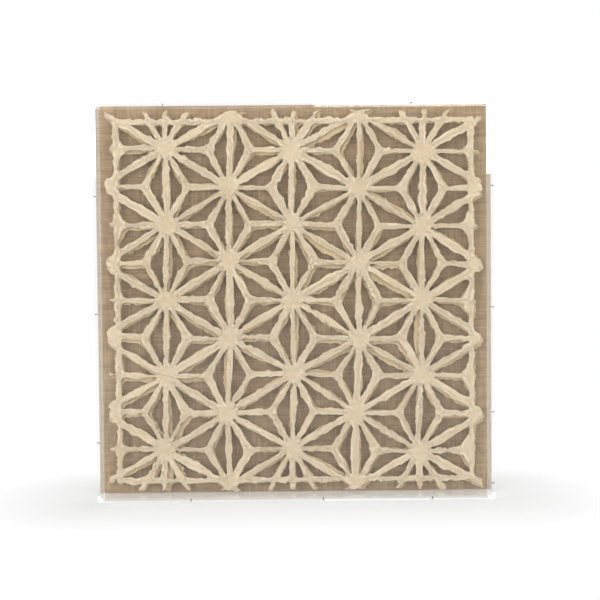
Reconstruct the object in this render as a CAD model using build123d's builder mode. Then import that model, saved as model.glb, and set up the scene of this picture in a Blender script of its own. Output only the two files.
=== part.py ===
from build123d import *
import os
from math import ceil, sqrt
from random import Random

# Framed layered paper art: two cut paper lattices float in front of a linen panel in a clear box.
# Millimetres. +X is right seen from the front, the front faces -Y and +Z is up.
# The origin is on the underside, halfway across and halfway back.

# Clear cover, made of flat sheet
cover_width = 600.0
cover_height = 600.0
acrylic_thickness = 4.0
air_space = 42.0
edge_ease = 0.5

# Linen-wrapped panel that closes the back of the cover
panel_clearance = 0.25
back_recess = 1.0
linen_thickness = 0.8
hem_width = 14.0
hem_slit = 0.5
board_thickness = 3.0
rail_width = 32.0
rail_depth = 12.0

# Keyhole slots routed into the upright rails
keyhole_drop = 110.0
keyhole_entry_radius = 4.5
keyhole_slot_radius = 2.2
keyhole_rise = 11.0
keyhole_lip = 4.0
keyhole_depth = 9.0

# Brads of flat wire with a wider sunk head, through the walls into the rails
brad_width = 1.6
brad_thickness = 1.4
brad_head_width = 2.8
brad_head_height = 1.0
brad_length = 18.0
brad_clearance = 0.05
corner_brad_height = 16.0
left_brad_shares = (0.14, 0.47, 0.77)
right_brad_shares = (0.21, 0.48, 0.79)
top_brad_shares = (-0.33, 0.30)
bottom_brad_shares = (-0.27, 0.07, 0.35)

# Cut paper lattice of twelve-rayed stars
star_pitch = 114.5
column_pitch = 98.0
long_ray_width = 8.6
level_ray_width = 6.2
slant_ray_width = 7.4
border_width = 8.0
paper_side_margin = 9.3
paper_end_margin = 5.2
stub_length = 16.0
ray_overrun = 20.0
paper_thickness = 1.0
junction_web = 1.2
junction_flat = 9.0

# How the lattice sits in its border, in millimetres and degrees, how far the knife strays from the
# drawn lines, and how far the rear sheet has slipped
lattice_turn = -0.7
lattice_shift_x = -2.3
lattice_shift_z = 1.1
star_wander = 3.2
front_stray = 0.8
rear_stray = 6.0
rear_slip_x = 1.8
rear_slip_z = -1.8
width_stray_share = 0.42

# Foam squares that carry the paper
pad_side = 7.0
rear_pad_thickness = 6.0
front_pad_thickness = 3.5

# Places along the depth, counted forwards from the middle of the box
panel_depth = linen_thickness + rail_depth + board_thickness + linen_thickness
cover_depth = back_recess + panel_depth + air_space + acrylic_thickness
cover_back = -cover_depth / 2
hem_back = cover_back + back_recess
rail_back = hem_back + linen_thickness
brad_line = rail_back + rail_depth / 2
board_back = rail_back + rail_depth
board_front = board_back + board_thickness
linen_front = board_front + linen_thickness
rear_sheet_back = linen_front + rear_pad_thickness
rear_sheet_front = rear_sheet_back + paper_thickness
front_sheet_back = rear_sheet_front + front_pad_thickness
pane_back = linen_front + air_space

# Sizes across the box
wall_depth = cover_depth - acrylic_thickness
inner_width = cover_width - 2 * acrylic_thickness
inner_height = cover_height - 2 * acrylic_thickness
panel_width = inner_width - 2 * panel_clearance
panel_height = inner_height - 2 * panel_clearance
core_width = panel_width - 2 * linen_thickness
core_height = panel_height - 2 * linen_thickness
paper_width = inner_width - 2 * paper_side_margin
paper_height = inner_height - 2 * paper_end_margin
border_x = paper_width / 2 - stub_length
border_z = paper_height / 2 - stub_length

os.makedirs("parts", exist_ok=True)


def upright(forward, x=0, z=0):
    """Plane that faces the viewer at a place along the depth, off the middle of the box by x and z."""
    return Plane(origin=(x, -forward, cover_height / 2 + z), x_dir=(1, 0, 0), z_dir=(0, -1, 0))


def save(builder, name):
    """Labels a finished piece and writes it."""
    builder.part.label = name
    export_step(builder.part, f"parts/{name}.step")


# Each brad's plane lies on the outside of its wall and looks into the box.
# Shares along an upright wall count from the underside, and along a level wall from its middle.
right_face = cover_width / 2
brad_places = [
    *[Plane((-right_face, -brad_line, cover_height * s), z_dir=(1, 0, 0)) for s in left_brad_shares],
    *[Plane((right_face, -brad_line, cover_height * s), z_dir=(-1, 0, 0)) for s in right_brad_shares],
    Plane((right_face, -brad_line, corner_brad_height), z_dir=(-1, 0, 0)),
    *[Plane((cover_width * s, -brad_line, cover_height), z_dir=(0, 0, -1)) for s in top_brad_shares],
    *[Plane((cover_width * s, -brad_line, 0), z_dir=(0, 0, 1)) for s in bottom_brad_shares],
]


def brads(gap, mode):
    """Adds or cuts every brad, grown by a gap all round."""
    wire = (brad_width + 2 * gap, brad_thickness + 2 * gap)
    head = (brad_head_width + 2 * gap, brad_thickness + 2 * gap)
    inwards = (Align.CENTER, Align.CENTER, Align.MIN)
    with Locations(*brad_places):
        Box(*wire, brad_length + gap, align=inwards, mode=mode)
        Box(*head, brad_head_height + gap, align=inwards, mode=mode)


# Front sheet, bonded over the front ends of the four walls
with BuildPart() as front_pane:
    with BuildSketch(upright(pane_back)):
        Rectangle(cover_width, cover_height)
    extrude(amount=acrylic_thickness)
    chamfer(front_pane.faces().sort_by(Axis.Y)[0].edges(), edge_ease)
save(front_pane, "front_pane")


def make_wall(name, width, height, x, z):
    """Clear wall behind the front sheet, drilled and countersunk for its brads."""
    with BuildPart() as wall:
        with BuildSketch(upright(cover_back)):
            with Locations((x, z)):
                Rectangle(width, height)
        extrude(amount=wall_depth)
        brads(brad_clearance, Mode.SUBTRACT)
    save(wall, name)


wall_x = (cover_width - acrylic_thickness) / 2
wall_z = (cover_height - acrylic_thickness) / 2
make_wall("wall_top", cover_width, acrylic_thickness, 0, wall_z)
make_wall("wall_bottom", cover_width, acrylic_thickness, 0, -wall_z)
make_wall("wall_left", acrylic_thickness, inner_height, -wall_x, 0)
make_wall("wall_right", acrylic_thickness, inner_height, wall_x, 0)

with BuildPart() as wall_brads:
    brads(0, Mode.ADD)
save(wall_brads, "wall_brads")

# Board under the linen
with BuildPart() as backing_board:
    with BuildSketch(upright(board_back)):
        Rectangle(core_width, core_height)
    extrude(amount=board_thickness)
save(backing_board, "backing_board")


def make_rail(name, corners, keyhole_side=0):
    """Mitred rail behind the board; a keyhole side of -1 or 1 routes a keyhole slot there."""
    with BuildPart() as rail:
        with BuildSketch(upright(rail_back)):
            Polygon(*corners, align=None)
        extrude(amount=rail_depth)
        brads(brad_clearance, Mode.SUBTRACT)
        if keyhole_side:
            entry_x = keyhole_side * (core_width - rail_width - hem_width) / 2
            entry_z = cover_height / 2 - keyhole_drop
            with BuildSketch(upright(rail_back)):
                with Locations((entry_x, entry_z)):
                    Circle(keyhole_entry_radius)
            extrude(amount=keyhole_depth, mode=Mode.SUBTRACT)
            with BuildSketch(upright(rail_back)):
                with Locations((entry_x, entry_z + keyhole_rise / 2)):
                    SlotCenterToCenter(keyhole_rise, 2 * keyhole_slot_radius, rotation=90)
            extrude(amount=keyhole_lip, mode=Mode.SUBTRACT)
            with BuildSketch(upright(rail_back + keyhole_lip)):
                with Locations((entry_x, entry_z + keyhole_rise / 2)):
                    SlotCenterToCenter(keyhole_rise, 2 * keyhole_entry_radius, rotation=90)
            extrude(amount=keyhole_depth - keyhole_lip, mode=Mode.SUBTRACT)
    save(rail, name)


outer_x = core_width / 2
outer_z = core_height / 2
inner_x = outer_x - rail_width
inner_z = outer_z - rail_width
upper_mitres = [(-outer_x, outer_z), (outer_x, outer_z), (inner_x, inner_z), (-inner_x, inner_z)]
right_mitres = [(outer_x, -outer_z), (outer_x, outer_z), (inner_x, inner_z), (inner_x, -inner_z)]
make_rail("rail_top", upper_mitres)
make_rail("rail_bottom", [(x, -z) for x, z in upper_mitres])
make_rail("rail_left", [(-x, z) for x, z in right_mitres], -1)
make_rail("rail_right", right_mitres, 1)

# Linen, one sheet: face, four edge returns and four hems with mitred corners
with BuildPart() as linen_cover:
    with BuildSketch(upright(hem_back)):
        Rectangle(panel_width, panel_height)
    extrude(amount=panel_depth)
    with BuildSketch(upright(rail_back)):
        Rectangle(core_width, core_height)
    extrude(amount=rail_depth + board_thickness, mode=Mode.SUBTRACT)
    with BuildSketch(upright(hem_back)):
        Rectangle(panel_width - 2 * hem_width, panel_height - 2 * hem_width)
        for side_x, side_z in ((-1, -1), (-1, 1), (1, -1), (1, 1)):
            hem_corner = (side_x * (panel_width - hem_width) / 2, side_z * (panel_height - hem_width) / 2)
            with Locations(hem_corner):
                Rectangle(hem_slit, hem_width * sqrt(2) + 2 * hem_slit, rotation=-45 * side_x * side_z)
    extrude(amount=linen_thickness, mode=Mode.SUBTRACT)
    brads(brad_clearance, Mode.SUBTRACT)
save(linen_cover, "linen_cover")


def stray(*key):
    """Repeatable number from -1 to 1 for one place on the lattice."""
    return 2 * Random(repr(key)).random() - 1


def star(column, row, layer="drawn", reach=0):
    """Centre of a star; rows count half pitches, and a layer's own cut strays by up to a reach."""
    drawn = Vector(column * column_pitch, row * star_pitch / 2).rotate(Axis.Z, lattice_turn)
    drawn += Vector(lattice_shift_x, lattice_shift_z)
    wander = Vector(stray("x", column, row), stray("z", column, row)) * star_wander
    own = Vector(stray("x", column, row, layer), stray("z", column, row, layer)) * reach
    return drawn + wander + own


def ray_corner(origin, along, beside, along_gap, beside_gap):
    """Where the edges of two rays from one point meet, each edge at its own gap from its ray."""
    along_ray = (along - origin).normalized()
    beside_ray = (beside - origin).normalized()
    spread = along_ray.cross(beside_ray).length
    return origin + (along_ray * beside_gap + beside_ray * along_gap) / spread


def triangles():
    """Corner stars of every triangle that can touch the sheet, each as column and row."""
    columns = ceil(paper_width / 2 / column_pitch) + 1
    rows = 2 * ceil(paper_height / 2 / star_pitch) + 2
    for column in range(-columns, columns):
        for row in range(-rows, rows + 1):
            if (column + row) % 2:
                yield [(column, row - 1), (column, row + 1), (column + 1, row)]
            else:
                yield [(column + 1, row - 1), (column + 1, row + 1), (column, row)]


def inside(place):
    """Whether a place lies within the middle line of the border strip."""
    return abs(place.X) < border_x and abs(place.Y) < border_z


def short_ray_width(corner, corners):
    """Drawn width of the short ray from one star of a triangle; the level ray is the narrow one."""
    columns = [column for column, row in corners]
    return level_ray_width if columns.count(corner[0]) == 1 else slant_ray_width


def cell(corners, layer, reach):
    """Opening between two stars' long ray and the short rays to their junction with a third, or nothing."""
    a, b, c = [star(*corner, layer, reach) for corner in corners]
    if not inside(a) and not inside(b):
        return []
    junction = (a + b + c) / 3
    strays = [1 + width_stray_share * stray(ray, *corners, layer) for ray in ("long", "first", "second")]
    long_gap = long_ray_width / 2 * strays[0]
    gap_a = short_ray_width(corners[0], corners) / 2 * strays[1]
    gap_b = short_ray_width(corners[1], corners) / 2 * strays[2]
    near_a = ray_corner(a, b, junction, long_gap, gap_a)
    near_b = ray_corner(b, a, junction, long_gap, gap_b)
    web = ray_corner(junction, a, b, gap_a, gap_b) + ((a + b) / 2 - junction).normalized() * junction_web
    if corners[0][0] != corners[1][0]:
        return [Polygon(near_a, near_b, web, align=None, mode=Mode.PRIVATE)]
    # Facing an upright ray the web is cut off flat
    web_b = web + (b - junction).normalized() * junction_flat / sqrt(3)
    web_a = web + (a - junction).normalized() * junction_flat / sqrt(3)
    return [Polygon(near_a, near_b, web_b, web_a, align=None, mode=Mode.PRIVATE)]


def ray_end(start, end, width):
    """Strip along a ray that leaves the border, cut a little past the ray's end, or nothing."""
    along = (end - start).normalized()
    edge = along.rotate(Axis.Z, 90) * width / 2
    tip = end + along * ray_overrun
    if not inside(start) or inside(tip):
        return []
    return [Polygon(start + edge, start - edge, tip - edge, tip + edge, align=None, mode=Mode.PRIVATE)]


def outside_pieces(corners, layer, reach):
    """Rays of one triangle that leave the border, and the web between two that meet at a star outside."""
    a, b, c = [star(*corner, layer, reach) for corner in corners]
    junction = (a + b + c) / 3
    long_rays = ray_end(a, b, long_ray_width) + ray_end(b, a, long_ray_width)
    short_rays = ray_end(a, junction, short_ray_width(corners[0], corners))
    if inside(a) and inside(b) and not inside(c):
        return long_rays + short_rays + [Polygon(a, b, c, align=None, mode=Mode.PRIVATE)]
    return long_rays + short_rays


def make_sheet(name, plane, layer, reach):
    """One cut paper layer: the lattice, its border strip and the ray ends outside the border."""
    turns = [corners[turn:] + corners[:turn] for corners in triangles() for turn in range(3)]
    with BuildSketch() as fringe:
        add([piece for corners in turns for piece in outside_pieces(corners, layer, reach)])
        Rectangle(paper_width, paper_height, mode=Mode.INTERSECT)
        Rectangle(2 * border_x, 2 * border_z, mode=Mode.SUBTRACT)
    with BuildSketch(plane) as outline:
        Rectangle(2 * border_x, 2 * border_z)
        add([hole for corners in turns for hole in cell(corners, layer, reach)], mode=Mode.SUBTRACT)
        add(border.sketch)
        add(fringe.sketch)
    with BuildPart() as sheet:
        # Offcuts that hang on nothing fall away
        extrude(outline.sketch.faces().sort_by(SortBy.AREA)[-1], amount=paper_thickness)
    save(sheet, name)


with BuildSketch() as border:
    Rectangle(2 * border_x + border_width, 2 * border_z + border_width)
    Rectangle(2 * border_x - border_width, 2 * border_z - border_width, mode=Mode.SUBTRACT)

make_sheet("paper_front_sheet", upright(front_sheet_back), "front", front_stray)
make_sheet("paper_rear_sheet", upright(rear_sheet_back, rear_slip_x, rear_slip_z), "rear", rear_stray)


def pad_places():
    """A pad under each star, moved in under the border strip where a star lies outside it."""
    columns = ceil(paper_width / 2 / column_pitch)
    rows = 2 * ceil(paper_height / 2 / star_pitch)
    for column in range(-columns, columns + 1):
        for row in range(-rows, rows + 1):
            centre = star(column, row)
            reach_x = abs(column * column_pitch) - paper_width / 2
            reach_z = abs(row * star_pitch / 2) - paper_height / 2
            if (column + row) % 2 == 0 and max(reach_x, reach_z) < stub_length:
                yield (
                    max(-border_x, min(border_x, centre.X)),
                    max(-border_z, min(border_z, centre.Y)),
                )


def make_pads(name, back, thickness):
    """One layer of foam squares."""
    with BuildPart() as pads:
        with BuildSketch(upright(back)):
            with Locations(*pad_places()):
                Rectangle(pad_side, pad_side)
        extrude(amount=thickness)
    save(pads, name)


make_pads("rear_pads", linen_front, rear_pad_thickness)
make_pads("front_pads", rear_sheet_front, front_pad_thickness)
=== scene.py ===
"""Looks of a framed layered paper piece: a clear box, a linen panel and two cut paper sheets.

Lengths are metres. +X is right seen from the front, the front faces -Y and +Z is up.
"""

import logging
import math
from dataclasses import dataclass, field
from enum import Enum
from random import Random
from typing import Any, Iterable, Mapping, Sequence

import bmesh
import bpy
from mathutils import Matrix, Vector, bvhtree, kdtree, noise


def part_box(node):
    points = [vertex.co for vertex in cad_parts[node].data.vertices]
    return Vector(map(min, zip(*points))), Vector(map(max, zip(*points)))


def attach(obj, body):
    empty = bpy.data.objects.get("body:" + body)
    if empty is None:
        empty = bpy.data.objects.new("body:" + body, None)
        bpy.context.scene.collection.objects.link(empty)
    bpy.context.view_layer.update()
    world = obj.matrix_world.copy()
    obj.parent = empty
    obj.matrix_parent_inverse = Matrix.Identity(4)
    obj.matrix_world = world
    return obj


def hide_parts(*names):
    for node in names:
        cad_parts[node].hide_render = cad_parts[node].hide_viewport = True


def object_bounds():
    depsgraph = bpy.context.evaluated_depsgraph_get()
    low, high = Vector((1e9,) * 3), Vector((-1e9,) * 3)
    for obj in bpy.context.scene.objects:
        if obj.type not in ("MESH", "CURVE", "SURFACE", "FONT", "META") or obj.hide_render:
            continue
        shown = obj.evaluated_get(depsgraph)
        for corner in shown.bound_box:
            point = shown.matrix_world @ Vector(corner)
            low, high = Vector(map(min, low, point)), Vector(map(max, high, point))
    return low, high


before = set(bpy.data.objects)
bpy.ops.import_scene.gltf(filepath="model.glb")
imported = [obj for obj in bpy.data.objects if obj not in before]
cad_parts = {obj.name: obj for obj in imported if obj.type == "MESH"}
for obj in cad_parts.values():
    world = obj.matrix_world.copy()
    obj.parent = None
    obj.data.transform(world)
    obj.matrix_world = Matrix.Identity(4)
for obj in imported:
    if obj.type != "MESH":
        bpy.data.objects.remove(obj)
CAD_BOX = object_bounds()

log = logging.getLogger("paper_art")

MM = 0.001
MERGE = 0.001 * MM
EASED_SEGMENTS = 2
BODY = "root"

Mesh = bmesh.types.BMesh
Vert = bmesh.types.BMVert
Edge = bmesh.types.BMEdge
Face = bmesh.types.BMFace
Socket = bpy.types.NodeSocket
Triple = tuple[float, float, float]
Colour = Triple
Box = tuple[Vector, Vector]


class Slot(Enum):
    """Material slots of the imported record."""

    ACRYLIC = "acrylic"
    LINEN = "linen"
    PAPER = "paper"
    BOARD = "board"
    PINE = "pine"
    FOAM = "foam"
    STEEL = "steel"


class Grain(Enum):
    """Axis that the grain of a wooden rail follows."""

    ALONG_X = 0
    ALONG_Z = 2


class Graph:
    """Writer for the nodes of one material or world."""

    def __init__(self, tree: bpy.types.NodeTree) -> None:
        """Starts from an empty tree."""
        self.tree = tree
        tree.nodes.clear()

    def add(self, kind: str, inputs: Mapping[Any, Any] | None = None, **settings: Any) -> bpy.types.Node:
        """Adds a node.

        Args:
            kind: node type without its ShaderNode prefix.
            inputs: input name or number to a constant or to the socket that feeds it.
            settings: properties of the node itself.

        Returns:
            The new node.
        """
        node = self.tree.nodes.new("ShaderNode" + kind)
        for name, value in settings.items():
            setattr(node, name, value)
        for key, value in (inputs or {}).items():
            if isinstance(value, Socket):
                self.tree.links.new(value, node.inputs[key])
            else:
                node.inputs[key].default_value = value
        return node

    def math(self, operation: str, first: Any, second: Any = 0.0) -> Socket:
        """Result of a sum on one or two values."""
        return self.add("Math", {0: first, 1: second}, operation=operation).outputs[0]

    def weighted(self, *parts: tuple[Any, float]) -> Socket:
        """Sum of several values, each times its share.

        Args:
            parts: values with their shares.

        Returns:
            The sum.
        """
        total, *others = [self.math("MULTIPLY", value, share) for value, share in parts]
        for other in others:
            total = self.math("ADD", total, other)
        return total

    def noise(self, vector: Any, scale: float, detail: float = 2.0) -> Socket:
        """Noise value at a scale in features per metre."""
        return self.add("TexNoise", {"Vector": vector, "Scale": scale, "Detail": detail}).outputs[0]

    def ranged(
        self, value: Any, low: float, high: float, to_low: float = 0.0, to_high: float = 1.0,
    ) -> Socket:
        """Value brought from one range to another, held at its ends."""
        ends = {"Value": value, "From Min": low, "From Max": high, "To Min": to_low, "To Max": to_high}
        return self.add("MapRange", ends).outputs[0]

    def mix(self, factor: Any, first: Any, second: Any) -> Socket:
        """Mix of two colours.

        Args:
            factor: share of the second colour.
            first: a colour or the socket that gives it.
            second: a colour or the socket that gives it.

        Returns:
            The mixed colour.
        """
        colours = [(*c, 1.0) if isinstance(c, tuple) else c for c in (first, second)]
        node = self.add("Mix", {0: factor, 6: colours[0], 7: colours[1]}, data_type="RGBA")
        return node.outputs[2]

    def stretched(self, source: Any, scale: Sequence[float], turn: Triple = (0.0, 0.0, 0.0)) -> Socket:
        """Coordinates scaled along each axis after a turn in radians."""
        return self.add("Mapping", {"Vector": source, "Rotation": turn, "Scale": scale}).outputs[0]

    def drawn_noise(self, source: Any, scale: Sequence[float], detail: float) -> Socket:
        """Noise value with its own features per metre along each axis."""
        return self.noise(self.stretched(source, scale), 1.0, detail)

    def bump(self, height: Any, depth: float, strength: float = 1.0) -> Socket:
        """Normal from a height of 0 to 1 over a depth."""
        return self.add("Bump", {"Strength": strength, "Distance": depth, "Height": height}).outputs[0]

    def place(self) -> Socket:
        """Place on the piece, in metres."""
        return self.add("TexCoord").outputs["Object"]

    def seen(self) -> Socket:
        """1 for rays from the eye, also through clear sheet, and 0 for others."""
        path = self.add("LightPath").outputs
        return self.math("MAXIMUM", path["Is Camera Ray"], path["Is Transmission Ray"])


class Finish:
    """Base of the finishes: a named material that ends in the finish's own shader."""

    name: str

    def material(self) -> bpy.types.Material:
        """Makes the finish a material.

        Returns:
            The node material.
        """
        material = bpy.data.materials.new(self.name)
        material.use_nodes = True
        graph = Graph(material.node_tree)
        graph.add("OutputMaterial", {"Surface": self.shader(graph).outputs[0]})
        return material

    def shader(self, g: Graph) -> bpy.types.Node:
        """Adds the nodes of the finish and gives the last one."""
        raise NotImplementedError


@dataclass(frozen=True)
class PaperFinish(Finish):
    """Thick handmade paper: cloudy pulp, fibres drawn out along each cut strip, and painted shade on the
    cut sides and back.
    """

    name: str
    face: Colour
    deep: Colour
    pale: Colour
    # Colour of the specks, and of the painted shade on the cut sides and back.
    flank_shade_and_speck: Colour
    cloud_scale: float = 34.0
    mottle_scale: float = 170.0
    speck_scale: float = 800.0
    broad_scale: Triple = (24.0, 300.0, 1.0)
    fine_scale: Triple = (75.0, 1250.0, 1.0)
    strip_side: float = 4.0 * MM
    strip_heart: float = 7.5 * MM
    relief: float = 0.5 * MM

    def shader(self, g: Graph) -> bpy.types.Node:
        """Adds the finish's nodes.

        Args:
            g: its node writer.

        Returns:
            The last shader.
        """
        place = g.place()
        grain = g.add("Attribute", attribute_name="grain").outputs["Vector"]
        back = g.add("Attribute", attribute_name="back").outputs["Fac"]
        cloud = g.ranged(g.noise(place, self.cloud_scale, 2.0), 0.36, 0.64)
        mottle = g.ranged(g.noise(place, self.mottle_scale, 4.0), 0.34, 0.66)
        speck = g.ranged(g.noise(place, self.speck_scale, 3.0), 0.35, 0.7)
        depth = g.add("SeparateXYZ", {0: grain}).outputs[1]
        in_strip = g.ranged(depth, self.strip_side, self.strip_heart, 1.0, 0.25)
        broad = g.ranged(g.drawn_noise(grain, self.broad_scale, 3.0), 0.42, 0.6)
        broad = g.math("MULTIPLY", broad, in_strip)
        fine = g.ranged(g.drawn_noise(grain, self.fine_scale, 2.0), 0.5, 0.72)
        fine = g.math("MULTIPLY", fine, in_strip)
        body = g.mix(g.weighted((cloud, 0.4), (mottle, 0.5)), self.face, self.deep)
        drawn = g.mix(g.math("MULTIPLY", broad, 0.75), body, self.pale)
        fibrous = g.mix(g.math("MULTIPLY", fine, 0.6), drawn, self.pale)
        specked = g.mix(g.math("MULTIPLY", speck, 0.22), fibrous, self.flank_shade_and_speck)
        height = g.weighted((broad, 0.55), (fine, 0.3), (speck, 0.25))
        return g.add("BsdfPrincipled", {
            # Painted shade: the cut sides and the back, by the back mark, take the darker flank colour.
            "Base Color": g.mix(g.ranged(back, 0.05, 0.6), specked, self.flank_shade_and_speck),
            "Roughness": g.ranged(speck, 0.0, 1.0, 0.8, 0.96),
            "Specular IOR Level": 0.2,
            "Normal": g.bump(height, self.relief),
        })


@dataclass(frozen=True)
class LinenFinish(Finish):
    """Plain weave of uneven flax thread, read from the cloth's own flat coordinates, with painted
    highlights on the thread crowns and painted shade between the threads.
    """

    name: str = "taupe_linen"
    thread: Colour = (0.46, 0.328, 0.2)
    dark: Colour = (0.23, 0.152, 0.08)
    # Colour of the painted highlight on the thread crowns.
    pale: Colour = (0.6, 0.455, 0.305)
    pitch: float = 0.85 * MM
    wander: float = 0.45 * MM
    wander_scale: float = 260.0
    slub_across: float = 480.0
    slub_along: float = 16.0
    cloud_scale: float = 55.0
    relief: float = 0.3 * MM

    def shader(self, g: Graph) -> bpy.types.Node:
        """Adds the finish's nodes.

        Args:
            g: its node writer.

        Returns:
            The last shader.
        """
        flat = g.add("UVMap", uv_map="flat").outputs[0]
        drift = g.add("TexNoise", {"Vector": flat, "Scale": self.wander_scale, "Detail": 1.0})
        moved = {0: drift.outputs["Color"], "Scale": self.wander}
        stray = g.add("VectorMath", moved, operation="SCALE").outputs[0]
        woven = g.add("VectorMath", {0: flat, 1: stray}, operation="ADD").outputs[0]
        parts = g.add("SeparateXYZ", {0: woven})
        turns = [g.math("MULTIPLY", parts.outputs[axis], math.pi / self.pitch) for axis in (0, 1)]
        ridges = [g.math("ABSOLUTE", g.math("SINE", turn)) for turn in turns]
        waves = [g.math("COSINE", turn) for turn in turns]
        over = g.ranged(g.math("MULTIPLY", *waves), -1.0, 1.0)
        warp = g.math("MULTIPLY", ridges[0], over)
        weft = g.math("MULTIPLY", ridges[1], g.math("SUBTRACT", 1.0, over))
        weave = g.math("MAXIMUM", warp, weft)
        upright = g.drawn_noise(flat, (self.slub_across, self.slub_along, 1.0), 3.0)
        level = g.drawn_noise(flat, (self.slub_along, self.slub_across, 1.0), 3.0)
        slub = g.ranged(g.math("ADD", upright, level), 0.85, 1.16)
        cloud = g.ranged(g.noise(flat, self.cloud_scale, 4.0), 0.35, 0.68)
        shade = g.mix(g.weighted((slub, 0.65), (cloud, 0.35)), self.dark, self.thread)
        return g.add("BsdfPrincipled", {
            # Painted light and shade: the thread crowns are drawn paler, and the gaps between threads keep
            # the darker tone.
            "Base Color": g.mix(g.ranged(weave, 0.35, 0.85, 0.0, 0.55), shade, self.pale),
            "Roughness": 0.92,
            "Specular IOR Level": 0.15,
            "Sheen Weight": 0.12,
            "Sheen Roughness": 0.5,
            "Normal": g.bump(g.weighted((weave, 0.8), (slub, 0.2)), self.relief, 0.8),
        })


@dataclass(frozen=True)
class AcrylicFinish(Finish):
    """Clear cast sheet that lets the lamps through, and light that has bounced about inside it out."""

    name: str = "clear_acrylic"
    tint: Colour = (0.992, 0.988, 0.968)
    ior: float = 1.49
    inner_bounces: float = 3.5
    matt_bounce: float = 100.0

    def shader(self, g: Graph) -> bpy.types.Node:
        """Adds the nodes of the finish. Light from a matt surface isn't let out early.

        Args:
            g: its node writer.

        Returns:
            The last shader.
        """
        path = g.add("LightPath").outputs
        scattered = g.math("MULTIPLY", path["Diffuse Depth"], self.matt_bounce)
        straight = g.math("SUBTRACT", path["Ray Depth"], scattered)
        trapped = g.math("GREATER_THAN", straight, self.inner_bounces)
        clear = g.add("BsdfPrincipled", {
            "Base Color": (*self.tint, 1.0),
            "Roughness": 0.0,
            "IOR": g.ranged(trapped, 0.0, 1.0, self.ior, 1.0),
            "Transmission Weight": 1.0,
        })
        opened = g.add("BsdfTransparent")
        return g.add("MixShader", {0: path["Is Shadow Ray"], 1: clear.outputs[0], 2: opened.outputs[0]})


@dataclass(frozen=True)
class PineFinish(Finish):
    """Planed pine with growth lines along a rail."""

    grain: Grain
    early: Colour = (0.62, 0.42, 0.22)
    late: Colour = (0.42, 0.25, 0.11)
    line_across: float = 150.0
    line_along: float = 3.0
    rings: float = 7.0
    pore_across: float = 2400.0
    pore_along: float = 60.0
    relief: float = 0.12 * MM

    @property
    def name(self) -> str:
        """Name of the material."""
        return "planed_pine_" + self.grain.name.lower()

    def along_grain(self, across: float, along: float) -> list[float]:
        """Features per metre on each axis, fewer along the grain."""
        return [along if axis == self.grain.value else across for axis in range(3)]

    def shader(self, g: Graph) -> bpy.types.Node:
        """Adds the finish's nodes.

        Args:
            g: its node writer.

        Returns:
            The last shader.
        """
        place = g.place()
        lines = g.drawn_noise(place, self.along_grain(self.line_across, self.line_along), 4.0)
        rings = g.math("FRACT", g.math("MULTIPLY", lines, self.rings))
        pores = g.drawn_noise(place, self.along_grain(self.pore_across, self.pore_along), 2.0)
        colour = g.mix(g.ranged(rings, 0.45, 0.95, 0.0, 0.8), self.early, self.late)
        return g.add("BsdfPrincipled", {
            "Base Color": g.mix(g.ranged(pores, 0.5, 0.75, 0.0, 0.25), colour, self.late),
            "Roughness": g.ranged(rings, 0.0, 1.0, 0.68, 0.52),
            "Specular IOR Level": 0.35,
            "Normal": g.bump(g.weighted((pores, 0.6), (rings, 0.2)), self.relief),
        })


@dataclass(frozen=True)
class BoardFinish(Finish):
    """Pressed fibre board with short matted fibres."""

    name: str = "fibre_board"
    face: Colour = (0.34, 0.215, 0.125)
    pale: Colour = (0.44, 0.3, 0.18)
    mat_scale: Triple = (900.0, 900.0, 320.0)
    mat_turn: Triple = (0.0, 0.6, 0.0)
    cloud_scale: float = 24.0
    relief: float = 0.1 * MM

    def shader(self, g: Graph) -> bpy.types.Node:
        """Adds the finish's nodes.

        Args:
            g: its node writer.

        Returns:
            The last shader.
        """
        place = g.place()
        mat = g.noise(g.stretched(place, self.mat_scale, self.mat_turn), 1.0, 4.0)
        cloud = g.noise(place, self.cloud_scale, 3.0)
        colour = g.mix(g.ranged(mat, 0.3, 0.7), self.face, self.pale)
        return g.add("BsdfPrincipled", {
            "Base Color": g.mix(g.ranged(cloud, 0.35, 0.7, 0.0, 0.3), colour, self.face),
            "Roughness": g.ranged(mat, 0.2, 0.8, 0.62, 0.85),
            "Specular IOR Level": 0.3,
            "Normal": g.bump(mat, self.relief),
        })


@dataclass(frozen=True)
class FoamFinish(Finish):
    """Closed-cell foam with fine open bubbles where it was cut, their hollows painted darker as shade."""

    name: str = "mounting_foam"
    face: Colour = (0.74, 0.73, 0.69)
    # Colour of the painted shade in the bubble hollows.
    cell: Colour = (0.55, 0.54, 0.5)
    cell_scale: float = 1400.0
    relief: float = 0.2 * MM

    def shader(self, g: Graph) -> bpy.types.Node:
        """Adds the finish's nodes.

        Args:
            g: its node writer.

        Returns:
            The last shader.
        """
        cells = g.add("TexVoronoi", {"Vector": g.place(), "Scale": self.cell_scale}).outputs[0]
        return g.add("BsdfPrincipled", {
            # Painted shade: each cell is drawn darker towards its middle, where the bump sinks it.
            "Base Color": g.mix(g.ranged(cells, 0.0, 0.5), self.cell, self.face),
            "Roughness": g.ranged(cells, 0.0, 0.7, 0.8, 0.95),
            "Specular IOR Level": 0.2,
            "Normal": g.bump(cells, self.relief),
        })


@dataclass(frozen=True)
class SteelFinish(Finish):
    """Drawn steel wire."""

    name: str = "bright_wire"
    face: Colour = (0.42, 0.41, 0.39)
    dull: Colour = (0.24, 0.23, 0.21)
    tarnish_scale: float = 900.0
    relief: float = 0.04 * MM

    def shader(self, g: Graph) -> bpy.types.Node:
        """Adds the finish's nodes.

        Args:
            g: its node writer.

        Returns:
            The last shader.
        """
        tarnish = g.noise(g.place(), self.tarnish_scale, 3.0)
        return g.add("BsdfPrincipled", {
            "Base Color": g.mix(g.ranged(tarnish, 0.4, 0.7), self.face, self.dull),
            "Metallic": 1.0,
            "Roughness": g.ranged(tarnish, 0.3, 0.7, 0.28, 0.5),
            "Normal": g.bump(tarnish, self.relief),
        })


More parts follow.
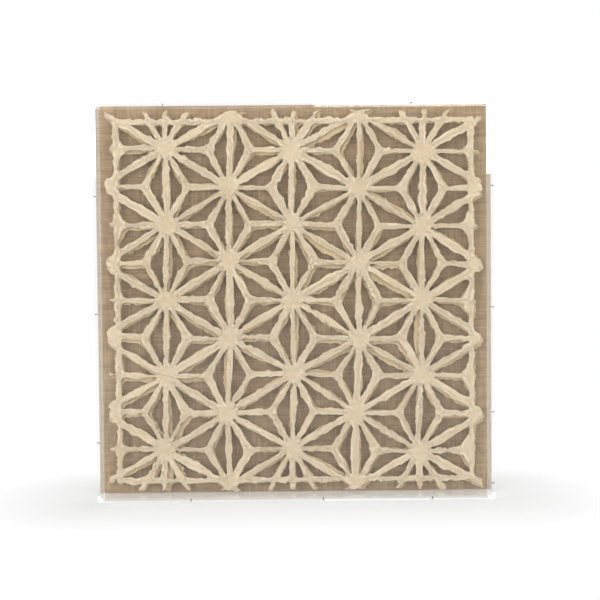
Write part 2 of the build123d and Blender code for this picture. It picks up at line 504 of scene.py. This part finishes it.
@dataclass(frozen=True)
class FloorFinish(Finish):
    """White floor that runs out into a white ground and keeps the shadow near the object."""

    half_width: float
    half_depth: float
    name: str = "white_floor"
    face: Colour = (0.93, 0.93, 0.925)
    near_share: float = 0.55
    far: float = 0.17
    grain_scale: float = 900.0
    relief: float = 0.05 * MM

    def shader(self, g: Graph) -> bpy.types.Node:
        """Adds the finish's nodes.

        Args:
            g: its node writer.

        Returns:
            The last shader.
        """
        place = g.place()
        parts = g.add("SeparateXYZ", {0: place}).outputs
        squares = []
        for axis, half in enumerate((self.half_width, self.half_depth)):
            past = g.math("SUBTRACT", g.math("ABSOLUTE", parts[axis]), half)
            gap = g.math("MAXIMUM", past, 0.0)
            squares.append(g.math("MULTIPLY", gap, gap))
        away = g.math("SQRT", g.math("ADD", *squares))
        fade = g.math("MULTIPLY", g.ranged(away, 0.0, self.far, self.near_share, 1.0), g.seen())
        lit = g.add("BsdfPrincipled", {
            "Base Color": (*self.face, 1.0),
            "Roughness": 0.9,
            "Specular IOR Level": 0.1,
            "Normal": g.bump(g.noise(place, self.grain_scale, 2.0), self.relief),
        })
        white = g.add("Emission", {"Color": (1.0, 1.0, 1.0, 1.0), "Strength": 1.0})
        return g.add("MixShader", {0: fade, 1: lit.outputs[0], 2: white.outputs[0]})


# The rear sheet is the same paper as the front one; its darker, warmer colours are painted shade and
# painted warm bounce from the sheet in front.
SHADED_REAR_PAPER = PaperFinish(
    name="rear_paper_painted_shade",
    face=(0.67, 0.52, 0.315),
    deep=(0.57, 0.43, 0.24),
    pale=(0.73, 0.59, 0.385),
    flank_shade_and_speck=(0.5, 0.36, 0.19),
)
FRONT_PAPER = PaperFinish(
    name="front_paper",
    face=(0.71, 0.59, 0.425),
    deep=(0.58, 0.45, 0.29),
    pale=(0.8, 0.69, 0.53),
    flank_shade_and_speck=(0.54, 0.4, 0.23),
)


def merged_copy(node: str) -> Mesh:
    """Copies a solid's mesh and joins its loose triangles.

    Args:
        node: name of the solid's node.

    Returns:
        The copy.
    """
    copy = bmesh.new()
    copy.from_mesh(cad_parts[node].data)
    bmesh.ops.remove_doubles(copy, verts=copy.verts, dist=MERGE)
    return copy


def corners_around(places: Iterable[Vector]) -> Box:
    """Lowest and highest corner of the box around places."""
    axes = list(zip(*places))
    return Vector([min(axis) for axis in axes]), Vector([max(axis) for axis in axes])


def island_boxes(node: str) -> list[Box]:
    """Measures each separate solid in a node.

    Args:
        node: name of the node.

    Returns:
        Lowest and highest corner of each solid.
    """
    copy = merged_copy(node)
    left = set(copy.verts)
    boxes = []
    for start in copy.verts:
        if start not in left:
            continue
        left.discard(start)
        island, waiting = [start], [start]
        while waiting:
            vert = waiting.pop()
            for edge in vert.link_edges:
                other = edge.other_vert(vert)
                if other in left:
                    left.discard(other)
                    island.append(other)
                    waiting.append(other)
        boxes.append(corners_around(v.co for v in island))
    copy.free()
    return boxes


def search_tree(places: Sequence[Vector]) -> kdtree.KDTree:
    """Search tree for the nearest of several places.

    Args:
        places: the places, found by their number.

    Returns:
        The balanced tree.
    """
    tree = kdtree.KDTree(len(places))
    for number, place in enumerate(places):
        tree.insert(place, number)
    tree.balance()
    return tree


def add_block(mesh: Mesh, low: Vector, high: Vector) -> list[Vert]:
    """Adds a block between two corners and returns its vertices."""
    place = Matrix.LocRotScale((low + high) / 2, None, high - low)
    return bmesh.ops.create_cube(mesh, size=1.0, matrix=place)["verts"]


def rearmost_face(mesh: Mesh) -> Face:
    """Face that lies furthest back."""
    return max(mesh.faces, key=lambda face: face.calc_center_median().y)


def runs_back(edge: Edge) -> bool:
    """Whether an edge runs from front to back."""
    return abs(edge.verts[0].co.y - edge.verts[1].co.y) > MERGE


def only_verts(geometry: Iterable[Any]) -> list[Vert]:
    """Vertices among what an operator made."""
    return [item for item in geometry if isinstance(item, Vert)]


def bevel(mesh: Mesh, edges: Iterable[Edge], width: float, segments: int) -> None:
    """Rounds edges to a width."""
    bmesh.ops.bevel(
        mesh, geom=list(edges), offset=width, offset_type="OFFSET", segments=segments, profile=0.5,
        affect="EDGES", clamp_overlap=True, material=-1,
    )


def finish_piece(
    mesh: Mesh, name: str, material: bpy.types.Material, nodes: Sequence[str],
    smooth: bool = True,
) -> bpy.types.Object:
    """Makes a riding piece of a finished mesh.

    Args:
        mesh: the mesh, which is freed.
        name: name of the piece.
        material: its finish.
        nodes: the nodes that it stands for.
        smooth: whether its faces are shaded smooth.

    Returns:
        The piece's object.
    """
    data = bpy.data.meshes.new(name)
    for face in mesh.faces:
        face.smooth = smooth
    mesh.to_mesh(data)
    mesh.free()
    data.materials.append(material)
    piece = bpy.data.objects.new(name, data)
    bpy.context.scene.collection.objects.link(piece)
    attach(piece, BODY)
    if nodes:
        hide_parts(*nodes)
    log.info("%s: %d faces", name, len(data.polygons))
    return piece


def dress_solid(node: str, material: bpy.types.Material) -> None:
    """Gives a solid that stays as it is its finish.

    Args:
        node: name of the solid's node.
        material: its finish.
    """
    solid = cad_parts[node]
    solid.data.materials.clear()
    solid.data.materials.append(material)
    log.info("%s: dressed", node)


@dataclass
class ClearBox:
    """Bonded acrylic cover, open at the back."""

    pane: str = "front_pane"
    walls: tuple[str, ...] = ("wall_top", "wall_bottom", "wall_left", "wall_right")
    eased: float = 0.5 * MM

    def build(self) -> bpy.types.Object:
        """Models the cover as one bonded shell.

        Returns:
            The cover's object.
        """
        nodes = [self.pane, *self.walls]
        low, high = corners_around(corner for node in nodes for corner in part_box(node))
        pane_low, pane_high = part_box(self.pane)
        mesh = bmesh.new()
        add_block(mesh, low, high)
        back = rearmost_face(mesh)
        thickness = pane_high.y - pane_low.y
        bmesh.ops.inset_individual(mesh, faces=[back], thickness=thickness, use_even_offset=True)
        inner = bmesh.ops.extrude_discrete_faces(mesh, faces=[back])["faces"][0]
        bmesh.ops.translate(mesh, verts=inner.verts, vec=(0.0, pane_high.y - high.y, 0.0))
        outer = {v for v in mesh.verts if min(abs(v.co.x - low.x), abs(v.co.x - high.x)) < MERGE}
        bevel(mesh, [e for e in mesh.edges if outer.issuperset(e.verts)], self.eased, EASED_SEGMENTS)
        material = AcrylicFinish().material()
        return finish_piece(mesh, "clear_cover", material, nodes, smooth=False)


@dataclass
class LinenPanel:
    """Linen stretched over a board and four rails, turned in behind."""

    linen: str = "linen_cover"
    board: str = "backing_board"
    rails: Mapping[str, Grain] = field(default_factory=lambda: {
        "rail_top": Grain.ALONG_X,
        "rail_bottom": Grain.ALONG_X,
        "rail_left": Grain.ALONG_Z,
        "rail_right": Grain.ALONG_Z,
    })
    hem: float = 14.0 * MM
    fold: float = 1.1 * MM
    fold_segments: int = 3
    fold_angle: float = math.radians(60)
    thickness: float = 0.8 * MM
    cuts: int = 36
    slack: float = 0.1 * MM
    slack_run: float = 40.0 * MM
    ragged: float = 0.7 * MM
    ragged_run: float = 9.0 * MM

    def __post_init__(self) -> None:
        """Keeps the corners of the plain solid."""
        self.low, self.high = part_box(self.linen)

    def build(self) -> bpy.types.Object:
        """Models the linen and dresses the board and rails.

        Returns:
            The linen's object.
        """
        mesh = bmesh.new()
        add_block(mesh, self.low, self.high)
        back = rearmost_face(mesh)
        bmesh.ops.inset_individual(mesh, faces=[back], thickness=self.hem, use_even_offset=True)
        bmesh.ops.delete(mesh, geom=[back], context="FACES_ONLY")
        long_edges = [e for e in mesh.edges if e.calc_length() > 2 * self.hem]
        bmesh.ops.subdivide_edges(mesh, edges=long_edges, cuts=self.cuts, use_grid_fill=True)
        inside = [e for e in mesh.edges if len(e.link_faces) == 2]
        folds = [e for e in inside if e.calc_face_angle() > self.fold_angle]
        bevel(mesh, folds, self.fold, self.fold_segments)
        self.relax(mesh)
        self.lay_flat(mesh)
        bmesh.ops.recalc_face_normals(mesh, faces=mesh.faces)
        bmesh.ops.solidify(mesh, geom=mesh.faces, thickness=self.thickness)
        bmesh.ops.recalc_face_normals(mesh, faces=mesh.faces)
        piece = finish_piece(mesh, "linen", LinenFinish().material(), [self.linen])
        self.dress_core()
        return piece

    def relax(self, mesh: Mesh) -> None:
        """Lets the cloth wander a little off its flat, and its hems off their line.

        Args:
            mesh: the folded cloth.
        """
        centre = (self.low + self.high) / 2
        for vert in mesh.verts:
            lift = self.slack * noise.noise(vert.co / self.slack_run)
            vert.co -= vert.normal * (lift + self.slack)
            if vert.is_boundary:
                pull = self.ragged * noise.noise(vert.co / self.ragged_run)
                away = (vert.co - centre) * Vector((1.0, 0.0, 1.0))
                vert.co += away.normalized() * pull

    def lay_flat(self, mesh: Mesh) -> None:
        """Gives each face the place that it had on the flat cloth, in metres.

        Args:
            mesh: the folded cloth.
        """
        flat = mesh.loops.layers.uv.new("flat")
        centre = (self.low + self.high) / 2
        half = (self.high - self.low) / 2
        for face in mesh.faces:
            normal = face.normal
            for loop in face.loops:
                x, y, z = loop.vert.co - centre
                past = y + half.y
                if abs(normal.x) > max(abs(normal.y), abs(normal.z)):
                    x = math.copysign(half.x + past, x)
                elif abs(normal.z) > abs(normal.y):
                    z = math.copysign(half.z + past, z)
                elif normal.y > 0 and abs(x) > abs(z):
                    x = math.copysign(2 * (half.x + half.y) - abs(x), x)
                elif normal.y > 0:
                    z = math.copysign(2 * (half.z + half.y) - abs(z), z)
                loop[flat].uv = (x, z)

    def dress_core(self) -> None:
        """Gives the board and the rails their finishes."""
        finishes = {grain: PineFinish(grain).material() for grain in Grain}
        for rail, grain in self.rails.items():
            dress_solid(rail, finishes[grain])
        dress_solid(self.board, BoardFinish().material())


@dataclass
class FoamPads:
    """Foam squares, a little pressed, between the layers."""

    node: str
    name: str
    corner: float = 1.2 * MM
    bulge: float = 0.5 * MM

    def __post_init__(self) -> None:
        """Keeps the corners of each plain pad."""
        self.boxes = island_boxes(self.node)

    def build(self, material: bpy.types.Material) -> bpy.types.Object:
        """Models every pad of a layer.

        Args:
            material: the foam's finish.

        Returns:
            The pads' object.
        """
        mesh = bmesh.new()
        for low, high in self.boxes:
            edges = dict.fromkeys(e for v in add_block(mesh, low, high) for e in v.link_edges)
            standing = [e for e in edges if runs_back(e)]
            middle = only_verts(bmesh.ops.subdivide_edges(mesh, edges=standing, cuts=1)["geom_inner"])
            grown = 1 + 2 * self.bulge / (high.x - low.x)
            about = Matrix.Translation(-(low + high) / 2)
            bmesh.ops.scale(mesh, vec=(grown, 1.0, grown), verts=middle, space=about)
        bevel(mesh, filter(runs_back, mesh.edges), self.corner, EASED_SEGMENTS)
        bmesh.ops.recalc_face_normals(mesh, faces=mesh.faces)
        piece = finish_piece(mesh, self.name, material, [self.node], smooth=False)
        return piece


@dataclass
class WallBrads:
    """Wire brads through the walls into the panel."""

    node: str = "wall_brads"
    eased: float = 0.3 * MM
    flat_within: float = math.radians(1)

    def build(self) -> bpy.types.Object:
        """Models every brad with eased edges.

        Returns:
            The brads' object.
        """
        mesh = merged_copy(self.node)
        bmesh.ops.dissolve_limit(mesh, angle_limit=self.flat_within, verts=mesh.verts, edges=mesh.edges)
        corners = [e for e in mesh.edges if e.calc_length() > self.eased and e.is_convex]
        bevel(mesh, corners, self.eased, EASED_SEGMENTS)
        bmesh.ops.recalc_face_normals(mesh, faces=mesh.faces)
        return finish_piece(mesh, "brads", SteelFinish().material(), [self.node])


@dataclass
class PaperLayer:
    """One cut sheet of handmade paper, worked up from its plain solid.

    A run is the length over which an uneven edge or face changes.
    """

    node: str
    finish: PaperFinish
    seed: float
    front_cosine: float = 0.5
    fringe: float = 12.0 * MM
    edge_step: float = 2.0 * MM
    longest_edge: float = 5.8 * MM
    divide_turns: int = 4
    settle_turns: int = 4
    long_side: float = 58.0 * MM
    long_bow: float = 1.0 * MM
    short_bow: float = 0.15 * MM
    bow_power: int = 4
    grain_shift: float = 40.0
    upright_share: float = 0.01
    rounding: int = 8
    fringe_rounding: int = 3
    seed_share: float = 0.7
    sway: float = 2.4 * MM
    sway_run: float = 25.0 * MM
    wobble: float = 1.6 * MM
    wobble_run: float = 9.0 * MM
    fray: float = 3.2 * MM
    fray_run: float = 5.2 * MM
    jag: float = 0.5 * MM
    ragged_run: float = 28.0 * MM
    ragged_least: float = 0.1
    ragged_mean: float = 0.3
    ragged_swing: float = 1.6
    torn: float = 2.4 * MM
    torn_run: float = 4.2 * MM
    torn_back: float = 0.3
    room_share: float = 0.3
    room_most: float = 60.0 * MM
    room_start: float = 0.02 * MM
    wall_half: float = 1.0 * MM
    rim_half: float = 0.3 * MM
    front_bulge: float = 0.4 * MM
    back_bulge: float = 0.2 * MM
    soft_width: float = 1.5 * MM
    cockle: float = 1.1 * MM
    cockle_run: float = 34.0 * MM
    crisp: float = math.radians(38)
    held_within: float = 12.0 * MM
    free_beyond: float = 38.0 * MM

    def __post_init__(self) -> None:
        """Keeps the corners of the plain solid."""
        self.low, self.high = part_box(self.node)

    def build(self, pads: Sequence[Box]) -> bpy.types.Object:
        """Models the sheet.

        Args:
            pads: corners of the foam pads that hold it.

        Returns:
            The sheet's object.
        """
        sheet = self.front_skin()
        self.divide_outline(sheet)
        self.round_outline(sheet)
        self.divide_face(sheet)
        self.tear_outline(sheet)
        self.comb(sheet)
        self.thicken(sheet, pads)
        return finish_piece(sheet, self.finish.name, self.finish.material(), [self.node])

    def front_skin(self) -> Mesh:
        """Takes the front face of the solid, with the layers that the finish reads.

        Returns:
            The skin.
        """
        sheet = merged_copy(self.node)
        for layer in ("soft", "back"):
            sheet.verts.layers.float.new(layer)
        sheet.verts.layers.float_vector.new("grain")
        sheet.normal_update()
        others = [face for face in sheet.faces if face.normal.y > -self.front_cosine]
        bmesh.ops.delete(sheet, geom=others, context="FACES")
        return sheet

    def in_fringe(self, place: Vector) -> bool:
        """Tells whether a place lies outside the border strip.

        Args:
            place: a place on the sheet.

        Returns:
            True among the loose ray ends.
        """
        room_x = min(place.x - self.low.x, self.high.x - place.x)
        room_z = min(place.z - self.low.z, self.high.z - place.z)
        return min(room_x, room_z) < self.fringe

    def grain_mark(self, run: Vector, pick: Random) -> Vector:
        """Marks a side with the heading of its fibres.

        Args:
            run: heading of the side.
            pick: the sheet's draws.

        Returns:
            The heading, rightwards, with a shift of the pattern in the place of Y.
        """
        if run.x + self.upright_share * run.z < 0:
            run = -run
        return Vector((run.x, pick.uniform(0.0, self.grain_shift), run.z))

    def bow_between(self, first: Vector, last: Vector) -> float:
        """Works out how far a side of the outline bows.

        Args:
            first: one end of the side.
            last: its other end.

        Returns:
            The bow at the middle of the side.
        """
        length = (last - first).length
        if length < self.long_side / 2 or self.in_fringe(first) or self.in_fringe(last):
            return 0.0
        return self.long_bow if length > self.long_side else self.short_bow

    def divide_outline(self, sheet: Mesh) -> None:
        """Divides each straight side of the outline and bows it as a knife does.

        Args:
            sheet: the front skin.
        """
        grain = sheet.verts.layers.float_vector["grain"]
        pick = Random(self.seed)
        for edge in [e for e in sheet.edges if e.is_boundary]:
            loop = edge.link_loops[0]
            here, end = loop.vert, loop.link_loop_next.vert
            first, last = here.co.copy(), end.co.copy()
            length = (last - first).length
            run = (last - first) / length
            side = run.cross(edge.link_faces[0].normal).normalized()
            mark = self.grain_mark(run, pick)
            bow = self.bow_between(first, last)
            here[grain] = mark
            count = max(1, round(length / self.edge_step))
            for step in range(1, count):
                _, here = bmesh.utils.edge_split(edge, here, 1 / (count - step + 1))
                share = step / count
                here.co = first.lerp(last, share) + side * bow * math.sin(math.pi * share) ** self.bow_power
                here[grain] = mark
                edge = next(e for e in here.link_edges if end in e.verts)

    @staticmethod
    def outline_neighbours(sheet: Mesh) -> dict[Vert, list[Vert]]:
        """Follows the outline.

        Args:
            sheet: the front skin.

        Returns:
            Vertices of the outline, each with the vertices before and after it.
        """
        beside: dict[Vert, list[Vert]] = {}
        for edge in sheet.edges:
            if edge.is_boundary:
                loop = edge.link_loops[0]
                beside.setdefault(loop.vert, [None, None])[1] = loop.link_loop_next.vert
                beside.setdefault(loop.link_loop_next.vert, [None, None])[0] = loop.vert
        return beside

    def round_outline(self, sheet: Mesh) -> None:
        """Rounds the corners of the outline, least of all at the loose ray ends.

        Args:
            sheet: the divided skin.
        """
        beside = self.outline_neighbours(sheet)
        inner = {v: pair for v, pair in beside.items() if not self.in_fringe(v.co)}
        for turn in range(self.rounding):
            chosen = beside if turn < self.fringe_rounding else inner
            moved = {v: v.co.lerp((a.co + b.co) / 2, 0.5) for v, (a, b) in chosen.items()}
            for vert, place in moved.items():
                vert.co = place

    def divide_face(self, sheet: Mesh) -> None:
        """Fills the outline with even triangles.

        Args:
            sheet: the rounded skin.
        """
        bmesh.ops.delete(sheet, geom=[e for e in sheet.edges if not e.is_boundary], context="EDGES")
        bmesh.ops.triangle_fill(sheet, use_beauty=True, edges=sheet.edges, normal=(0.0, -1.0, 0.0))
        sheet.normal_update()
        bmesh.ops.reverse_faces(sheet, faces=[f for f in sheet.faces if f.normal.y > 0])
        for _ in range(self.divide_turns):
            inner = [e for e in sheet.edges if not e.is_boundary]
            bmesh.ops.beautify_fill(sheet, faces=sheet.faces, edges=inner, method="ANGLE")
            inner = [e for e in sheet.edges if not e.is_boundary]
            long_edges = [e for e in inner if e.calc_length() > self.longest_edge]
            bmesh.ops.subdivide_edges(sheet, edges=long_edges, cuts=1)
            bmesh.ops.triangulate(sheet, faces=sheet.faces, quad_method="BEAUTY", ngon_method="BEAUTY")
        self.settle(sheet)

    def settle(self, sheet: Mesh) -> None:
        """Spreads the vertices within the outline evenly.

        Args:
            sheet: the filled skin.
        """
        free = [v for v in sheet.verts if not v.is_boundary]
        axes = {"use_axis_x": True, "use_axis_y": True, "use_axis_z": True}
        for _ in range(self.settle_turns):
            bmesh.ops.smooth_vert(sheet, verts=free, factor=0.5, **axes)

    def outline_wall(self, sheet: Mesh) -> bvhtree.BVHTree:
        """Stands a thin wall on the outline, for measuring across strips and openings.

        Args:
            sheet: the filled skin.

        Returns:
            Search tree of the wall.
        """
        wall = bmesh.new()
        made = {}
        for edge in sheet.edges:
            if edge.is_boundary:
                for vert in edge.verts:
                    if vert not in made:
                        made[vert] = wall.verts.new(vert.co - Vector((0.0, self.wall_half, 0.0)))
                wall.edges.new([made[vert] for vert in edge.verts])
        tops = only_verts(bmesh.ops.extrude_edge_only(wall, edges=wall.edges)["geom"])
        bmesh.ops.translate(wall, verts=tops, vec=(0.0, 2 * self.wall_half, 0.0))
        tree = bvhtree.BVHTree.FromBMesh(wall)
        wall.free()
        return tree

    def room(self, wall: bvhtree.BVHTree, place: Vector, heading: Vector) -> float:
        """Distance from the outline to the next outline along a heading."""
        start = place + heading * self.room_start
        return wall.ray_cast(start, heading, self.room_most)[3] or self.room_most

    def stray(self, at: Vector, offset: Vector, pick: Random) -> float:
        """Works out how far the outline strays outwards.

        Args:
            at: a place on the outline.
            offset: shift of the noise for this sheet.
            pick: the sheet's draws.

        Returns:
            The distance, inwards where it is below zero.
        """
        place = at + offset
        ragged = self.ragged_mean + self.ragged_swing * noise.noise(place / self.ragged_run)
        ragged = min(1.0, max(self.ragged_least, ragged))
        move = self.sway * noise.noise(place / self.sway_run + offset)
        move += self.wobble * noise.noise(place / self.wobble_run)
        frayed = self.fray * noise.noise(place / self.fray_run)
        move += ragged * (frayed + self.jag * pick.uniform(-1.0, 1.0))
        if self.in_fringe(at):
            move += self.torn * (noise.noise(place / self.torn_run) - self.torn_back)
        return move

    def tear_outline(self, sheet: Mesh) -> None:
        """Lets the outline sway and fray, most of all at the loose ray ends.

        Args:
            sheet: the filled skin.
        """
        wall = self.outline_wall(sheet)
        pick = Random(self.seed)
        offset = Vector((self.seed, 0.0, self.seed * self.seed_share))
        moves = {}
        for vert, (before, after) in self.outline_neighbours(sheet).items():
            side = (after.co - before.co).cross(Vector((0.0, -1.0, 0.0))).normalized()
            move = self.stray(vert.co, offset, pick)
            inwards = self.room_share * self.room(wall, vert.co, -side)
            outwards = self.room_share * self.room(wall, vert.co, side)
            moves[vert] = side * max(-inwards, min(outwards, move))
        for vert, move in moves.items():
            vert.co += move
        self.settle(sheet)

    def comb(self, sheet: Mesh) -> None:
        """Gives every vertex its place along and across the strip that it lies in.

        Args:
            sheet: the torn skin.
        """
        soft = sheet.verts.layers.float["soft"]
        grain = sheet.verts.layers.float_vector["grain"]
        outline = [v for v in sheet.verts if v.is_boundary]
        marks = [v[grain].copy() for v in outline]
        tree = search_tree([v.co for v in outline])
        for vert in sheet.verts:
            _, number, depth = tree.find(vert.co)
            mark = marks[number]
            vert[soft] = min(1.0, depth / self.soft_width)
            vert[grain] = (vert.co.x * mark.x + vert.co.z * mark.z, depth, mark.y)

    def thicken(self, sheet: Mesh, pads: Sequence[Box]) -> None:
        """Gives the sheet its thickness, soft edges and cockle.

        Args:
            sheet: the combed skin.
            pads: corners of the foam pads that hold it.
        """
        soft = sheet.verts.layers.float["soft"]
        back = sheet.verts.layers.float["back"]
        level = Vector((1.0, 0.0, 1.0))
        tree = search_tree([(low + high) / 2 * level for low, high in pads])
        middle = (self.low.y + self.high.y) / 2
        grown = bmesh.ops.extrude_face_region(sheet, geom=list(sheet.faces), use_keep_orig=True)["geom"]
        for vert in only_verts(grown):
            vert[back] = 1.0
        for vert in sheet.verts:
            held = tree.find(vert.co * level)[2]
            loose = (held - self.held_within) / (self.free_beyond - self.held_within)
            loose = min(1.0, max(0.0, loose))
            wave = noise.noise(Vector((vert.co.x, self.seed, vert.co.z)) / self.cockle_run)
            round_off = math.sqrt(1 - (1 - vert[soft]) ** 2)
            depth = self.rim_half + self.back_bulge * round_off
            if not vert[back]:
                depth = -self.rim_half - self.front_bulge * round_off
            vert.co.y = middle + loose * self.cockle * wave + depth
        bmesh.ops.recalc_face_normals(sheet, faces=sheet.faces)
        for edge in sheet.edges:
            edge.smooth = edge.calc_face_angle(0.0) < self.crisp


@dataclass
class LooseFibres:
    """Fibres that stand out of the cut edges of one sheet."""

    name: str
    seed: float
    count: int = 320
    radius: float = 0.17 * MM
    radius_shares: tuple[float, float] = (0.6, 1.3)
    tip_share: float = 0.3
    shortest: float = 2.0 * MM
    longest: float = 7.5 * MM
    length_shares: tuple[float, float] = (0.5, 1.0)
    rooted: float = 1.5 * MM
    sides: int = 5
    cuts: int = 4
    spread: float = math.radians(75)
    lean_shares: tuple[float, float] = (-0.25, 0.1)
    curl_share: float = 0.45

    def build(self, sheet: bpy.types.Object, material: bpy.types.Material) -> bpy.types.Object:
        """Models the fibres of a finished sheet.

        Args:
            sheet: the sheet they grow from.
            material: the sheet's finish.

        Returns:
            The fibres' object.
        """
        pick = Random(self.seed)
        soft = sheet.data.attributes["soft"].data
        edge = [v for v in sheet.data.vertices if soft[v.index].value == 0.0]
        straight = self.straight_fibre()
        mesh = bmesh.new()
        for root in pick.sample(edge, self.count):
            mesh.from_mesh(straight)
            mesh.verts.ensure_lookup_table()
            outwards = (root.normal * Vector((1.0, 0.0, 1.0))).normalized()
            turn = Matrix.Rotation(pick.uniform(-self.spread, self.spread), 3, "Y")
            heading = turn @ outwards + Vector((0.0, pick.uniform(*self.lean_shares), 0.0))
            self.bend(mesh.verts[-len(straight.vertices):], root.co, heading, pick)
        bpy.data.meshes.remove(straight)
        bmesh.ops.recalc_face_normals(mesh, faces=mesh.faces)
        return finish_piece(mesh, self.name, material, [])

    def straight_fibre(self) -> bpy.types.Mesh:
        """Models a tapering fibre of unit length and thickness that stands on the origin.

        Returns:
            Its mesh, to be copied.
        """
        mesh = bmesh.new()
        bmesh.ops.create_cone(
            mesh, cap_ends=True, segments=self.sides, radius1=1.0, radius2=self.tip_share, depth=1.0,
        )
        long_edges = [e for e in mesh.edges if abs(e.verts[0].co.z - e.verts[1].co.z) > 0.5]
        bmesh.ops.subdivide_edges(mesh, edges=long_edges, cuts=self.cuts)
        bmesh.ops.translate(mesh, verts=mesh.verts, vec=(0.0, 0.0, 0.5))
        data = bpy.data.meshes.new("straight_fibre")
        mesh.to_mesh(data)
        mesh.free()
        return data

    def bend(self, verts: Sequence[Vert], root: Vector, heading: Vector, pick: Random) -> None:
        """Sizes and bends a straight fibre and plants it in the edge of the sheet.

        Args:
            verts: the fibre's vertices.
            root: its place on the edge.
            heading: the way it grows.
            pick: the sheet's draws.
        """
        length = pick.uniform(self.shortest, self.longest) * pick.uniform(*self.length_shares) + self.rooted
        radius = self.radius * pick.uniform(*self.radius_shares)
        curl = pick.uniform(-self.curl_share, self.curl_share)
        turn = heading.to_track_quat("Z", "Y").to_matrix()
        for vert in verts:
            x, y, share = vert.co
            aside = curl * length * share * share
            vert.co = root + turn @ Vector((x * radius + aside, y * radius, share * length - self.rooted))


@dataclass(frozen=True)
class Lamp:
    """Square soft light aimed at a place."""

    name: str
    place: Triple
    aim: Triple
    side: float
    watts: float

    def build(self) -> None:
        """Adds the lamp, turned to its aim."""
        light = bpy.data.lights.new(self.name, "AREA")
        light.size = self.side
        light.energy = self.watts
        lamp = bpy.data.objects.new(self.name, light)
        lamp.location = self.place
        lamp.rotation_euler = (Vector(self.aim) - Vector(self.place)).to_track_quat("-Z", "Y").to_euler()
        bpy.context.scene.collection.objects.link(lamp)


@dataclass
class Studio:
    """Floor, ground, lamps and camera."""

    floor_radius: float = 9.0
    floor_sides: int = 64
    floor_drop: float = 0.2 * MM
    ambient: float = 0.2
    mirrored: float = 0.12
    lamps: tuple[Lamp, ...] = (
        Lamp("key", (-2.5, -1.9, 1.0), (0.0, 0.0, 0.3), 1.6, 32.0),
        Lamp("fill", (2.4, -1.9, 0.5), (0.0, 0.0, 0.3), 1.6, 18.0),
        Lamp("top", (0.0, -1.0, 2.3), (0.0, -0.9, 0.0), 1.4, 17.0),
        Lamp("back", (0.8, 2.6, 1.3), (0.0, 0.0, 0.3), 1.6, 26.0),
    )
    camera_place: Triple = (-0.0049, -2.0, 0.4521)
    yaw: float = math.radians(0.398)
    pitch: float = math.radians(-2.343)
    roll: float = math.radians(-0.505)
    lens: float = 78.79
    sensor: float = 36.0
    shift_y: float = -0.075

    def build(self) -> None:
        """Sets the scene around the object."""
        bpy.context.scene.view_settings.view_transform = "Standard"
        self.lay_floor()
        self.light_ground()
        for lamp in self.lamps:
            lamp.build()
        self.aim_camera()

    def lay_floor(self) -> None:
        """Lays the floor just under the object."""
        mesh = bmesh.new()
        bmesh.ops.create_circle(mesh, cap_ends=True, segments=self.floor_sides, radius=self.floor_radius)
        bmesh.ops.translate(mesh, verts=mesh.verts, vec=(0.0, 0.0, -self.floor_drop))
        data = bpy.data.meshes.new("floor")
        mesh.to_mesh(data)
        mesh.free()
        half = (CAD_BOX[1] - CAD_BOX[0]) / 2
        data.materials.append(FloorFinish(half.x, half.y).material())
        floor = bpy.data.objects.new("floor", data)
        bpy.context.scene.collection.objects.link(floor)

    def light_ground(self) -> None:
        """Makes the ground white to the eye and a soft light on the object."""
        world = bpy.data.worlds.new("studio")
        world.use_nodes = True
        bpy.context.scene.world = world
        g = Graph(world.node_tree)
        mirror = g.add("LightPath").outputs["Is Glossy Ray"]
        unseen = g.ranged(mirror, 0.0, 1.0, self.ambient, self.mirrored)
        strength = g.math("MAXIMUM", g.seen(), unseen)
        white = g.add("Background", {"Color": (1.0, 1.0, 1.0, 1.0), "Strength": strength})
        g.add("OutputWorld", {"Surface": white.outputs[0]})

    def aim_camera(self) -> None:
        """Places the camera at the height and distance of the photograph's."""
        data = bpy.data.cameras.new("camera")
        data.lens = self.lens
        data.sensor_width = self.sensor
        data.shift_y = self.shift_y
        forward = Vector((
            math.sin(self.yaw) * math.cos(self.pitch),
            math.cos(self.yaw) * math.cos(self.pitch),
            math.sin(self.pitch),
        ))
        level = forward.cross(Vector((0.0, 0.0, 1.0))).normalized()
        right = Matrix.Rotation(-self.roll, 3, forward) @ level
        up = right.cross(forward)
        axes = Matrix((right, up, -forward)).transposed()
        camera = bpy.data.objects.new("camera", data)
        camera.matrix_world = Matrix.Translation(self.camera_place) @ axes.to_4x4()
        bpy.context.scene.collection.objects.link(camera)
        bpy.context.scene.camera = camera


def main() -> None:
    """Builds every piece in order."""
    logging.basicConfig(level=logging.INFO)
    Studio().build()
    ClearBox().build()
    LinenPanel().build()
    WallBrads().build()
    rear_pads = FoamPads("rear_pads", "rear_foam")
    front_pads = FoamPads("front_pads", "front_foam")
    foam = FoamFinish().material()
    for pads in (rear_pads, front_pads):
        pads.build(foam)
    rear = PaperLayer("paper_rear_sheet", SHADED_REAR_PAPER, seed=3.1)
    front = PaperLayer("paper_front_sheet", FRONT_PAPER, seed=7.4)
    for layer, pads in ((rear, rear_pads), (front, front_pads)):
        sheet = layer.build(pads.boxes)
        LooseFibres(sheet.name + "_fibres", layer.seed).build(sheet, sheet.data.materials[0])


if __name__ == "__main__":
    main()
